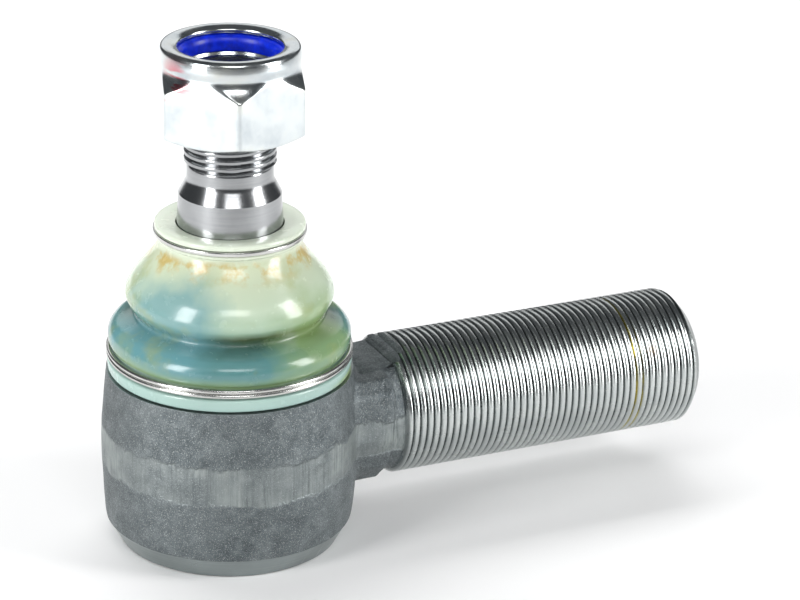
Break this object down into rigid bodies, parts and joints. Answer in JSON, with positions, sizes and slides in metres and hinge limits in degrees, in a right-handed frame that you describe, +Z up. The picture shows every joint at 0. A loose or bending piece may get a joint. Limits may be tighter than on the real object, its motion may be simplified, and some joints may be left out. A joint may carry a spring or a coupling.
{
  "type": "tie rod end",
  "caption": "Tie rod end: ball stud in a forged housing with a threaded shank, folded dust boot and self-locking nut.",
  "frame": {"origin": "centre of the housing's flat base, on the stud's axis", "axes": "+X along the threaded shank, +Z up along the stud"},
  "size_m": [0.1692, 0.0684, 0.1367],
  "materials": {
    "forged_steel": "shot-blasted forging with a machined shank",
    "ground_steel": "ground and polished",
    "seat_plastic": "moulded acetal",
    "spring_steel": "oiled",
    "zinc_steel": "zinc plated",
    "black_rubber": "moulded",
    "boot_urethane": "glossy translucent polyurethane",
    "ring_steel": "bright wire",
    "nut_zinc": "bright zinc plate",
    "blue_nylon": "moulded nylon"
  },
  "bodies": {
    "housing": {"housing": "forged_steel", "upper_ball_seat": "seat_plastic", "lower_ball_seat": "seat_plastic", "preload_spring": "spring_steel", "cover_plate": "zinc_steel", "cover_seal_ring": "black_rubber", "boot_lower_ring": "ring_steel"},
    "boot": {"dust_boot": "boot_urethane"},
    "boot_top": {"boot_upper_ring": "ring_steel"},
    "stud": {"ball_stud": "ground_steel"},
    "insert": {"nylon_insert": "blue_nylon"},
    "nut": {"lock_nut": "nut_zinc"}
  },
  "joints": [
    {"name": "stud_swing", "type": "hinge", "parent": "housing", "child": "boot", "pos_m": [0, 0, 0.029], "axis": [0, 0, 1], "continuous": true},
    {"name": "stud_tilt", "type": "hinge", "parent": "boot", "child": "boot_top", "pos_m": [0, 0, 0.029], "axis": [0, 1, 0], "range_deg": [-20, 20], "deforming": ["dust_boot"]},
    {"name": "stud_spin", "type": "hinge", "parent": "boot_top", "child": "stud", "pos_m": [0, 0, 0.029], "axis": [0, 0, 1], "continuous": true},
    {"name": "nut_travel", "type": "slide", "parent": "stud", "child": "insert", "axis": [0, 0, 1], "range_m": [-0.0091, 0.0121]},
    {"name": "nut_spin", "type": "hinge", "parent": "insert", "child": "nut", "pos_m": [0, 0, 0.1127], "axis": [0, 0, 1], "range_deg": [-1620, 2160]}
  ],
  "couplings": [
    {"joint": "nut_travel", "follows": "nut_spin", "m_per_rad": 0.00031831}
  ]
}
